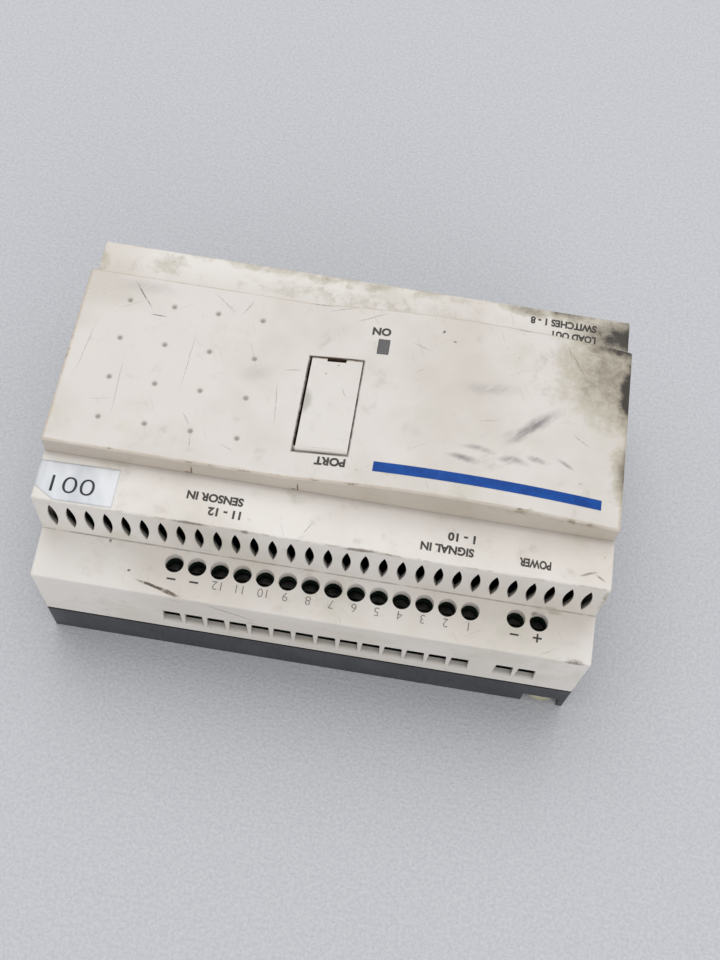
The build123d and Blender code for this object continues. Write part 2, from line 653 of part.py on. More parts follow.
write("output_relays", *[relay(k) for k in range(OUTPUT_COUNT)])
write("relay_driver_chip", chip(-4.0, 14.5, POWER_BOARD_TOP, 12.0, 7.5, 9))
write("supply_capacitors", can_capacitor(-42, 13, 5.0, 20), can_capacitor(44, 14, 5.0, 20),
      can_capacitor(30, 16, 4.0, 12))
write("power_inductor", power_inductor())
write("supply_varistor", supply_varistor())
write("supply_fuse", supply_fuse())
write("regulator", regulator())
write("input_filters", *input_filters())
write("processor_chip", chip(-32.0, 0.0, LOGIC_BOARD_TOP, 14.0, 14.0, 16))
write("memory_chip", chip(28.0, 4.0, LOGIC_BOARD_TOP, 5.0, 4.0, 4))
write("crystal", crystal())
write("status_lamp", block((-7.5, -5.5), (-13.4, -11.4), (LOGIC_BOARD_TOP, LOGIC_BOARD_TOP + 1.6)))
write("port_connector", port_connector())
write("port_contacts", *port_contacts())
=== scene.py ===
from math import pi, radians

import bpy
import numpy as np
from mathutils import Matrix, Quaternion, Vector


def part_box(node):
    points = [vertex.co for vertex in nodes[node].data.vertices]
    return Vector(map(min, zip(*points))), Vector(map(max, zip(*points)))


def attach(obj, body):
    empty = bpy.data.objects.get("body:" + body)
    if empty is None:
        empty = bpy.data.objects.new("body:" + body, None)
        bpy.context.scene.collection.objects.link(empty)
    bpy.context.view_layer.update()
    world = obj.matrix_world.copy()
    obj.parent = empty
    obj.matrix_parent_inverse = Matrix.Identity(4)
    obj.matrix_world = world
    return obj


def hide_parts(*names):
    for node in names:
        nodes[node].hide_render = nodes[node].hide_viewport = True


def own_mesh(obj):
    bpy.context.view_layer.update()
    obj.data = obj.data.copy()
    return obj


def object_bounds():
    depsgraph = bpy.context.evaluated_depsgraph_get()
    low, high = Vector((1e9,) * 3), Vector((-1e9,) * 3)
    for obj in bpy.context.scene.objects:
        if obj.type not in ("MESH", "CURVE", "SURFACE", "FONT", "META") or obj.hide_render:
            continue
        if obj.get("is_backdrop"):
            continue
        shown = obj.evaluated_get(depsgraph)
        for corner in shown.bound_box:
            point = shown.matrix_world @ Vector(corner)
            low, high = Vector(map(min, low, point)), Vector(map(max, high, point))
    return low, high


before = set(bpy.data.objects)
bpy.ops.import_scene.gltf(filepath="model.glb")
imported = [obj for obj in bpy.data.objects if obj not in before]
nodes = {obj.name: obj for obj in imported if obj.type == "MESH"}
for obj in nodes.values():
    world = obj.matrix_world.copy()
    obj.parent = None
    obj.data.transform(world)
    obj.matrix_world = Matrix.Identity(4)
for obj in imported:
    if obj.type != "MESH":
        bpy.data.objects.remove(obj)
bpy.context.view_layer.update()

MM = 0.001


# ---------------------------------------------------------------- rear base
# A dark slate tray of glass-filled polyamide, moulded in one shot. It carries the rail seat and
# snaps into the cream shell above it. Draw marks from the mould run up its walls as fine streaks.

def linear(code):
    """Linear colour of an sRGB hex code: each channel goes through the sRGB curve."""
    srgb = np.array([int(code[k:k + 2], 16) for k in (1, 3, 5)]) / 255
    return (*np.where(srgb < 0.04045, srgb / 12.92, ((srgb + 0.055) / 1.055) ** 2.4), 1.0)


def node(tree, kind, inputs=None, out=0, **settings):
    """Adds a node with its settings; each input is linked from a socket or set to a value."""
    made = tree.nodes.new(kind)
    for key, value in settings.items():
        setattr(made, key, value)
    for key, value in (inputs or {}).items():
        socket = made.inputs[key]
        if isinstance(value, bpy.types.NodeSocket):
            tree.links.new(value, socket)
        else:
            socket.default_value = value
    return made.outputs[out]


def blank(name):
    """A new material's empty node tree, and its Object coordinates in millimetres."""
    material = bpy.data.materials.new(name)
    material.use_nodes = True
    tree = material.node_tree
    tree.nodes.clear()
    place = node(tree, "ShaderNodeTexCoord", out="Object")
    return material, tree, node(tree, "ShaderNodeVectorMath", {0: place, "Scale": 1 / MM}, operation="SCALE")


def tint(tree, base, colour, amount):
    """The base colour moved towards another by an amount from 0 to 1."""
    return node(tree, "ShaderNodeMix", {0: amount, 6: base, 7: colour}, 2, data_type="RGBA")


def ramp(tree, value, start, end, low=0.0, high=1.0):
    """A value carried smoothly from low, at start, to high, at end."""
    return node(tree, "ShaderNodeMapRange", {"Value": value, "From Min": start, "From Max": end,
                "To Min": low, "To Max": high}, interpolation_type="SMOOTHSTEP")


def grain(tree, at, size, detail=2.0, rough=0.5, stretch=None):
    """Noise whose patches are about size millimetres across, longer along an axis by stretch."""
    if stretch:
        at = node(tree, "ShaderNodeMapping", {"Vector": at, "Scale": [1 / s for s in stretch]})
    return node(tree, "ShaderNodeTexNoise", {"Vector": at, "Scale": 1 / size, "Detail": detail,
                "Roughness": rough})


def axis_of(tree, at, name):
    """One axis of a place, in millimetres."""
    return node(tree, "ShaderNodeSeparateXYZ", {0: at}, name)


def finish(tree, colour, rough, height=None, relief=0.0, **values):
    """Principled surface with relief millimetres of bump from a height, and the tree's output."""
    inputs = {"Base Color": colour, "Roughness": rough}
    inputs.update({key.replace("_", " "): value for key, value in values.items()})
    if height is not None:
        inputs["Normal"] = node(tree, "ShaderNodeBump", {"Height": height, "Distance": relief * MM,
                                "Strength": 1.0})
    surface = node(tree, "ShaderNodeBsdfPrincipled", inputs)
    node_out = tree.nodes.new("ShaderNodeOutputMaterial")
    tree.links.new(surface, node_out.inputs["Surface"])


def dress(material, *names):
    """Gives a material to the CAD nodes of these names."""
    for name in names:
        for holder in nodes[name].material_slots:
            holder.material = material


def slate_polyamide():
    """Dark satin plastic: streaks run up the walls, pale dust sits in patches and on the edges."""
    material, tree, at = blank("slate_glass_filled_polyamide")
    streaks = grain(tree, at, 0.35, 3.0, 0.6, (1, 1, 26))
    patches = grain(tree, at, 16, 4.0)
    colour = tint(tree, linear("#2a2c2f"), linear("#3a3d41"), ramp(tree, streaks, 0.35, 0.7))
    colour = tint(tree, colour, linear("#54565a"), ramp(tree, patches, 0.5, 0.8, 0, 0.4))
    dust = grain(tree, at, 0.5, 4.0, 0.7)
    colour = tint(tree, colour, linear("#8d8b86"), ramp(tree, dust, 0.66, 0.78, 0, 0.5))
    # Painted shade: above about 12 mm the base goes to near black, standing in for the shaded groove under
    # the cream shell.
    colour = tint(tree, colour, linear("#0c0d0f"), ramp(tree, axis_of(tree, at, "Z"), 11.7, 12.3, 0, 0.95))
    finish(tree, colour, ramp(tree, patches, 0.3, 0.7, 0.38, 0.55), streaks, 0.02)
    return material


slate = slate_polyamide()
dress(slate, "rear_base")


# ---------------------------------------------------------------- rail latches and their springs
# Two slides of the same dark polyamide run in the base. A coil of drawn spring steel wire stands
# in each slide's window and pushes the nose under the rail.

dress(slate, "rail_latch_left", "rail_latch_right")


def skin(name, grid, around=False, along=False):
    """Quad mesh over a grid of points in millimetres; a closed direction joins last row to first."""
    rows, columns = grid.shape[:2]
    index = np.arange(rows * columns).reshape(rows, columns)
    if along:
        index = np.vstack([index, index[:1]])
    if around:
        index = np.hstack([index, index[:, :1]])
    quads = np.stack([index[:-1, :-1], index[:-1, 1:], index[1:, 1:], index[1:, :-1]], -1).reshape(-1, 4)
    mesh = bpy.data.meshes.new(name)
    mesh.from_pydata((grid.reshape(-1, 3) * MM).tolist(), [], quads.tolist())
    mesh.shade_smooth()
    piece = bpy.data.objects.new(name, mesh)
    bpy.context.scene.collection.objects.link(piece)
    return piece


def coil(name, x, y_low, y_high, z, mean_r, wire_r, turns):
    """Tube of wire_r swept on a helix about a line along Y. The pitch closes up over the first and
    last turn, and the tube shrinks to a point at both tips."""
    t = np.linspace(0, 1, int(turns * 22) + 1)
    rest = np.clip((t * turns - 0.9) / (turns - 1.8), 0, 1)
    length = y_high - y_low - 2 * wire_r
    y = y_low + wire_r + length * (0.06 * t + 0.94 * rest)
    angle = 2 * pi * turns * t
    out = np.stack([np.cos(angle), np.zeros_like(t), np.sin(angle)], -1)
    centre = np.stack([np.full_like(t, x), y, np.full_like(t, z)], -1) + mean_r * out
    tangent = np.gradient(centre, axis=0)
    tangent /= np.linalg.norm(tangent, axis=1, keepdims=True)
    side = np.cross(tangent, out)
    turn = np.linspace(0, 2 * pi, 10, endpoint=False)[None, :, None]
    girth = wire_r * np.where((t == 0) | (t == 1), 0.02, 1.0)[:, None, None]
    ring = np.cos(turn) * out[:, None] + np.sin(turn) * side[:, None]
    return skin(name, centre[:, None] + girth * ring, around=True)


def spring_steel():
    """Drawn wire: bright, faintly blued, with drawing lines too fine to see one by one."""
    material, tree, at = blank("oiled_spring_steel_wire")
    film = grain(tree, at, 1.2, 3.0)
    colour = tint(tree, linear("#8d9196"), linear("#b9b4a8"), ramp(tree, film, 0.35, 0.7))
    finish(tree, colour, ramp(tree, film, 0.3, 0.7, 0.22, 0.4), film, 0.01, Metallic=1.0)
    return material


wire_steel = spring_steel()
SPRING_FOOT_Y = -36.1
SPRING_HEAD_Y = -26.1
for side in ("left", "right"):
    low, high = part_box(f"latch_spring_{side}")
    x, z = (low.x + high.x) / 2 / MM, (low.z + high.z) / 2 / MM
    spring = coil(f"latch_coil_{side}", x, SPRING_FOOT_Y, SPRING_HEAD_Y, z, 1.25, 0.2, 8)
    spring.data.materials.append(wire_steel)
    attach(spring, "root")
    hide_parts(f"latch_spring_{side}")
    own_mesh(spring)


# ---------------------------------------------------------------- fixing lugs
# Two natural, undyed polyamide tongues that pull out of the base for wall screws. The plastic is
# slightly see-through and has yellowed, so it looks like old wax.

def natural_polyamide():
    """Yellowed, cloudy plastic with light passing a short way under the surface."""
    material, tree, at = blank("natural_polyamide_lug")
    cloud = grain(tree, at, 3.5, 4.0)
    colour = tint(tree, linear("#c9c6ae"), linear("#a9a587"), ramp(tree, cloud, 0.35, 0.7))
    finish(tree, colour, 0.4, cloud, 0.03, Subsurface_Weight=0.35, Subsurface_Radius=(0.0012, 0.001, 0.0006))
    return material


dress(natural_polyamide(), "fixing_lug_input_side", "fixing_lug_output_side")


# ---------------------------------------------------------------- circuit boards
# Two glass-epoxy boards under green solder mask. Copper tracks show as slightly paler lanes with
# square corners, and drilled pads as tinned dots.

def solder_mask():
    """Green lacquer: paler lanes between the cells of a square lattice, and a grid of tinned pads."""
    material, tree, at = blank("solder_mask_on_glass_epoxy")
    lanes = node(tree, "ShaderNodeTexVoronoi", {"Vector": at, "Scale": 1 / 3.2}, feature="DISTANCE_TO_EDGE")
    pads = node(tree, "ShaderNodeTexVoronoi", {"Vector": at, "Scale": 1 / 2.54, "Randomness": 0.0})
    colour = tint(tree, linear("#0d3a22"), linear("#1c5a37"), ramp(tree, lanes, 0.16, 0.1))
    colour = tint(tree, colour, linear("#b9b4a2"), ramp(tree, pads, 0.17, 0.14))
    finish(tree, colour, 0.3, ramp(tree, lanes, 0.2, 0.1), 0.03)
    return material


dress(solder_mask(), "power_board", "logic_board")


# ---------------------------------------------------------------- parts on the boards
# Bought-in parts: black epoxy chips, sealed relays, aluminium cans, a ferrite drum, coated discs,
# and plated steel spacers. Each is soldered to its board or pushed into a socket.

def moulding(name, pale, deep, patch=6.0, grit=0.3, relief=0.01, rough=0.45, **values):
    """Moulded or dipped skin: two tones drift over patch millimetres under a fine grit."""
    material, tree, at = blank(name)
    drift = grain(tree, at, patch, 4.0)
    pits = grain(tree, at, grit, 2.0)
    colour = tint(tree, linear(pale), linear(deep), ramp(tree, drift, 0.35, 0.7))
    finish(tree, colour, ramp(tree, drift, 0.3, 0.7, rough - 0.08, rough + 0.08), pits, relief, **values)
    return material


def plating(name, pale, deep, rough=0.3):
    """Plated metal: the tone clouds over a few millimetres, with fine rubbed lines."""
    material, tree, at = blank(name)
    cloud = grain(tree, at, 1.8, 4.0)
    rubbed = grain(tree, at, 0.12, 2.0, 0.5, (1, 1, 8))
    colour = tint(tree, linear(pale), linear(deep), ramp(tree, cloud, 0.35, 0.7))
    finish(tree, colour, ramp(tree, cloud, 0.3, 0.7, rough - 0.1, rough + 0.15), rubbed, 0.01, Metallic=1.0)
    return material


zinc = plating("passivated_zinc_on_steel", "#b3b4b2", "#8e8c84")
chip_epoxy = moulding("black_moulding_epoxy", "#17181a", "#232427", rough=0.55)
dress(zinc, "board_spacers", "crystal")
dress(chip_epoxy, "relay_driver_chip", "processor_chip", "memory_chip", "regulator", "link_header",
      "link_socket")
dress(moulding("relay_case_polyester", "#1d2024", "#2a2d31", rough=0.35), "output_relays")
dress(plating("capacitor_can_aluminium", "#9aa0a8", "#7d838b", 0.35), "supply_capacitors")
dress(moulding("sintered_ferrite", "#24221f", "#363029", grit=0.2, relief=0.03, rough=0.65), "power_inductor")
dress(moulding("dipped_blue_epoxy", "#1d3f86", "#173267", rough=0.3), "supply_varistor")
dress(moulding("glazed_ceramic_barrel", "#d8d5c7", "#bdb9a6", rough=0.25), "supply_fuse")
dress(moulding("dipped_orange_epoxy", "#b85a18", "#94450f", rough=0.3), "input_filters")
dress(moulding("diffusing_green_polycarbonate", "#3f8f47", "#2c6b35", rough=0.3, Transmission_Weight=0.3),
      "status_lamp")
dress(moulding("black_glass_filled_polyester", "#16171a", "#222428", rough=0.5), "port_connector")
dress(plating("gold_flash_on_brass", "#d8b25c", "#b98f3c", 0.25), "port_contacts")


# ---------------------------------------------------------------- screw terminals
# Green polyamide blocks hold a zinc-plated slotted screw, a rising clamp and a tinned contact bar
# at each way. Only the wells and the screw heads show, deep in the shelf's holes.

# Painted shade: the blocks' green and the screws' zinc are much darker than their own tones, standing in for
# the shade deep in the holes and wire entries.
green_polyamide = moulding("green_polyamide", "#10281d", "#0b1d15", 4.0, 0.3, 0.02, 0.42)
screw_zinc = plating("zinc_screws_darkened_as_shade", "#4b4b49", "#2e2d2a", 0.42)
dress(green_polyamide, "input_terminal_block", "supply_terminal_block", "output_terminal_block")
dress(screw_zinc, "input_screws", "output_screws", "supply_screw_minus", "supply_screw_plus")
dress(zinc, "input_clamps", "output_clamps", "supply_clamp_minus", "supply_clamp_plus")
dress(plating("tinned_brass", "#c2bfb4", "#9d998c"), "input_contacts", "supply_contacts", "output_contacts")


# ---------------------------------------------------------------- main housing
# The cream shell, moulded in flame-retardant polycarbonate blend with a fine spark-eroded skin.
# Age has turned it towards tan, rubbed its edges and left grime at its -X end. Painted shade darkens
# the walls inside the vents and wire entries, the crease below the vents and the shoulder by the cover.

def scuff(tree, at, centre, reach, turn=0.0, amount=1.0, soft=0.6, tilt=0.0):
    """Mask of one mark: an ellipsoid about centre with half sizes reach, turned about Z by turn
    degrees or about Y by tilt, full inside and falling away over the share soft of its size."""
    unit = node(tree, "ShaderNodeMapping", {"Vector": at, "Location": centre, "Scale": reach,
                "Rotation": (0, radians(tilt), radians(turn))}, vector_type="TEXTURE")
    distance = node(tree, "ShaderNodeVectorMath", {0: unit}, "Value", operation="LENGTH")
    return ramp(tree, distance, 1.0, 1.0 - soft, 0.0, amount)


def larger(tree, a, b):
    """The larger of two values."""
    return node(tree, "ShaderNodeMath", {0: a, 1: b}, operation="MAXIMUM")


def scuffs(tree, at, marks):
    """The strongest of several marks at each point."""
    total = None
    for mark in marks:
        mask = scuff(tree, at, *mark)
        total = mask if total is None else larger(tree, total, mask)
    return total


def ripple(tree, at, size, reach):
    """The place pushed to and fro by up to half of reach millimetres, by noise of a patch size, so
    that a mark drawn from it has a ragged outline."""
    push = node(tree, "ShaderNodeTexNoise", {"Vector": at, "Scale": 1 / size, "Detail": 3.0}, "Color")
    push = node(tree, "ShaderNodeVectorMath", {0: push, 1: (0.5, 0.5, 0.5)}, operation="SUBTRACT")
    push = node(tree, "ShaderNodeVectorMath", {0: push, "Scale": reach}, operation="SCALE")
    return node(tree, "ShaderNodeVectorMath", {0: at, 1: push}, operation="ADD")


def times(tree, a, b):
    """Product of two masks."""
    return node(tree, "ShaderNodeMath", {0: a, 1: b}, operation="MULTIPLY")


def aged_cream(tree, at, fresh="#ded8d1", aged="#d1cac0"):
    """Cream plastic before its own marks: cream drifts to tan and to a greenish yellow in patches,
    with pepper specks and faint hairlines in two directions."""
    drift = grain(tree, at, 34, 4.0, 0.55)
    colour = tint(tree, linear(fresh), linear(aged), ramp(tree, drift, 0.4, 0.65))
    patch = grain(tree, at, 13, 5.0, 0.6)
    colour = tint(tree, colour, linear("#cdc9b6"), ramp(tree, patch, 0.54, 0.72, 0, 0.45))
    dirt = grain(tree, at, 5, 6.0, 0.65)
    colour = tint(tree, colour, linear("#b5aca0"), ramp(tree, dirt, 0.56, 0.8, 0, 0.5))
    for turn, size in ((68, 9), (-31, 13)):
        lay = node(tree, "ShaderNodeMapping", {"Vector": at, "Rotation": (0, 0, radians(turn))})
        hair = grain(tree, lay, 0.28, 0.0, 0.5, (size * 4, 1, 1))
        where = ramp(tree, grain(tree, lay, size, 1.0), 0.56, 0.66, 0, 0.28)
        colour = tint(tree, colour, linear("#978e84"), times(tree, ramp(tree, hair, 0.72, 0.8), where))
    speck = grain(tree, at, 0.55, 1.0)
    where = ramp(tree, patch, 0.5, 0.7)
    return tint(tree, colour, linear("#5a5049"), times(tree, ramp(tree, speck, 0.76, 0.8), where))


def grimed(tree, at, colour, reach):
    """Brown-black grime in a broken film, thickest inside the marks given by reach."""
    film = grain(tree, at, 2.6, 9.0, 0.78)
    thick = scuffs(tree, ripple(tree, at, 6.0, 5.0), reach)
    spread = node(tree, "ShaderNodeMath", {0: film, 1: thick}, operation="ADD")
    colour = tint(tree, colour, linear("#b1a992"), ramp(tree, spread, 0.6, 0.95, 0, 0.6))
    colour = tint(tree, colour, linear("#7d7363"), ramp(tree, spread, 0.9, 1.3, 0, 0.75))
    return tint(tree, colour, linear("#2b231d"), ramp(tree, spread, 1.22, 1.5, 0, 0.92))


def cream_surface(tree, at, colour):
    """Satin skin with a spark-eroded grain of about 0.35 mm."""
    pits = grain(tree, at, 0.35, 3.0, 0.6)
    finish(tree, colour, ramp(tree, grain(tree, at, 9, 3.0), 0.3, 0.7, 0.42, 0.58), pits, 0.018,
           Specular_IOR_Level=0.42, Subsurface_Weight=0.06, Subsurface_Radius=(0.001, 0.0008, 0.0006))


def edge_line(tree, at, y, z, width, amount):
    """Mask along a ridge that runs in X at y and z, on both long sides of the housing."""
    away = node(tree, "ShaderNodeVectorMath", {0: at}, operation="ABSOLUTE")
    return scuff(tree, away, (0, y, z), (1e6, width, width), 0, amount, 0.9)


HOUSING_END = 62.1
SHOULDER_Y, SHOULDER_Z = 34.1, 51.5
SHELF_EDGE_Y, SHELF_EDGE_Z = 45.0, 35.0
CREASE_Y, CREASE_Z = 33.9, 36.2
COVER_HALF = 22.5


ROWS_HALF = (60.0, 59.6)
VENT_DEPTH = (33.85, 33.35, 32.6, 32.0)
VENT_Z = (37.6, 38.2, 49.6, 50.4)
ENTRY_DEPTH = (44.2, 43.3, 42.3, 41.8)
ENTRY_Z = (17.0, 17.4, 25.0, 25.6)


def within(tree, at, depth, heights):
    """Mask inside one row of openings, on both long sides. It comes in over the first two values of
    depth and of heights and goes out over the last two, and stops short of the housing's ends."""
    away = node(tree, "ShaderNodeVectorMath", {0: at}, operation="ABSOLUTE")
    across, height = axis_of(tree, away, "Y"), axis_of(tree, away, "Z")
    in_walls = times(tree, ramp(tree, across, *depth[:2]), ramp(tree, across, *depth[3:1:-1]))
    in_band = times(tree, ramp(tree, height, *heights[:2]), ramp(tree, height, *heights[3:1:-1]))
    return times(tree, times(tree, in_walls, in_band), ramp(tree, axis_of(tree, away, "X"), *ROWS_HALF))


def housing_polycarbonate():
    """The housing's cream: rubbed ridges, gouges, grime; painted shade in creases and openings."""
    material, tree, at = blank("aged_cream_polycarbonate_housing")
    colour = aged_cream(tree, at, "#e8e3dc", "#dcd5cb")
    broken = grain(tree, at, 2.2, 5.0, 0.7, (3, 1, 1))
    ridge = edge_line(tree, at, SHOULDER_Y, SHOULDER_Z, 0.55, 1.0)
    colour = tint(tree, colour, linear("#a79a8a"), times(tree, ridge, ramp(tree, broken, 0.45, 0.6, 0, 0.8)))
    colour = tint(tree, colour, linear("#3f352d"), times(tree, ridge, ramp(tree, broken, 0.64, 0.7, 0, 0.9)))
    # Painted shade: a thin dark line, broken up by noise, along the crease where the vent wall meets the
    # terminal shelf.
    crease = edge_line(tree, at, CREASE_Y, CREASE_Z, 0.4, 0.55)
    colour = tint(tree, colour, linear("#6d5f52"), times(tree, crease, ramp(tree, broken, 0.3, 0.6)))
    # Painted shade: a soft darker band on the shoulder along the foot of the cover, where the cover's wall
    # shades it.
    shade = edge_line(tree, at, COVER_HALF, SHOULDER_Z, 1.6, 0.35)
    colour = tint(tree, colour, linear("#a3988b"), shade)
    gouges = [((34.6, 43.2, 35), (5.6, 0.5, 2), -12.4, 1.0), ((31.5, 44.0, 35), (3.4, 0.6, 2), -14, 0.9),
              ((17.7, 45, 30.7), (9.4, 3, 0.2), 0, 0.85, 0.6, -27.7),
              ((30, 45, 33), (1.9, 3, 0.16), 0, 0.6, 0.6, -30), ((41, 40.5, 35.6), (0.5, 0.4, 1), 0, 0.9),
              ((46.5, 34.6, 36.4), (0.5, 0.5, 1), 0, 0.9), ((-48.7, 35.6, 36.2), (1.3, 0.7, 1), 0, 0.8),
              ((-58.5, 44.8, 34.6), (2.8, 1.2, 0.9), 0, 0.7), ((-57, 31, 51.6), (2.4, 0.35, 1), 22, 0.6),
              ((-59.6, 31.6, 51.6), (1.6, 0.3, 1), -35, 0.6), ((-8, 34, 51.5), (5.5, 0.5, 0.8), 4, 0.75),
              ((28, 34, 51.5), (5.5, 0.4, 0.7), 0, 0.7), ((16, 34, 51.3), (1.2, 0.4, 1), 0, 0.6),
              ((3, 30.8, 51.6), (2.4, 0.16, 1), 60, 0.45), ((-25, 30.6, 51.6), (2.2, 0.14, 1), 62, 0.45)]
    torn = times(tree, scuffs(tree, ripple(tree, at, 2.0, 0.5), gouges),
                 ramp(tree, grain(tree, at, 0.9, 4.0, 0.7), 0.25, 0.5))
    colour = tint(tree, colour, linear("#5f5143"), torn)
    colour = grimed(tree, at, colour, [((-HOUSING_END, -29, 50), (20, 12, 9), 0, 1.05, 0.9),
                                       ((-HOUSING_END, -34, 40), (4, 12, 22), 0, 0.5, 0.9),
                                       ((-HOUSING_END, 34, 46), (1.6, 4, 9), 0, 0.55, 0.9),
                                       ((-46, -33.5, 51), (24, 4, 3), 0, 0.8, 0.9),
                                       ((HOUSING_END, -28, 51), (3, 9, 3), 0, 0.4, 0.9),
                                       ((8, -34, 51), (60, 4.5, 2), 0, 0.46, 0.9),
                                       ((0, -28, 51), (48, 6, 2), 0, 0.3, 0.9),
                                       ((46, -30, 51), (8, 5, 3), 0, 0.38, 0.9),
                                       ((-53, 34.6, 36), (8, 1.4, 1.2), 0, 0.4, 0.9)])
    height = axis_of(tree, at, "Z")
    # Painted shade: the walls inside the vents darken to near black towards the top of each opening.
    vent_shade = times(tree, within(tree, at, VENT_DEPTH, VENT_Z), ramp(tree, height, 38.6, 43.5, 0.55, 0.97))
    colour = tint(tree, colour, linear("#17120f"), vent_shade)
    # Painted shade: the walls inside the wire entries darken towards the top in the same way.
    entry_shade = times(tree, within(tree, at, ENTRY_DEPTH, ENTRY_Z),
                        ramp(tree, height, 18.0, 22.0, 0.45, 0.97))
    colour = tint(tree, colour, linear("#3a322b"), entry_shade)
    cream_surface(tree, at, colour)
    return material


dress(housing_polycarbonate(), "main_housing")


# ---------------------------------------------------------------- front cover
# The raised lid of the same cream blend, arched over its -X half and flat over its +X half, where
# it has sixteen shallow dimples. It has the worst scratches and grime.

FLAT_Z = 56.6
ARCH_X = (-62.1, 9.2)
ARCH_RISE = 2.9


def arch_z(x):
    """Height of the front face: flat, plus a circular arch between the two values of ARCH_X."""
    middle, half = sum(ARCH_X) / 2, (ARCH_X[1] - ARCH_X[0]) / 2
    r = (half ** 2 + ARCH_RISE ** 2) / (2 * ARCH_RISE)
    rise = np.sqrt(np.maximum(r ** 2 - (x - middle) ** 2, 0)) - (r - ARCH_RISE)
    return FLAT_Z + np.maximum(rise, 0) * (x < ARCH_X[1])


PORT_MIDDLE = (3.2, 3.85)
PORT_REACH = (5.95, 12.0)


def opening_line(tree, at, middle, reach, width):
    """Mask along the four sides of an oblong about middle with half sizes reach: full on its
    outline and gone at width millimetres to either side of it."""
    away = node(tree, "ShaderNodeVectorMath", {0: at, 1: (*middle, 0)}, operation="SUBTRACT")
    away = node(tree, "ShaderNodeVectorMath", {0: away}, operation="ABSOLUTE")
    away = node(tree, "ShaderNodeVectorMath", {0: away, 1: (*reach, 0)}, operation="SUBTRACT")
    beyond = larger(tree, axis_of(tree, away, "X"), axis_of(tree, away, "Y"))
    return ramp(tree, node(tree, "ShaderNodeMath", {0: beyond}, operation="ABSOLUTE"), width, width * 0.3)


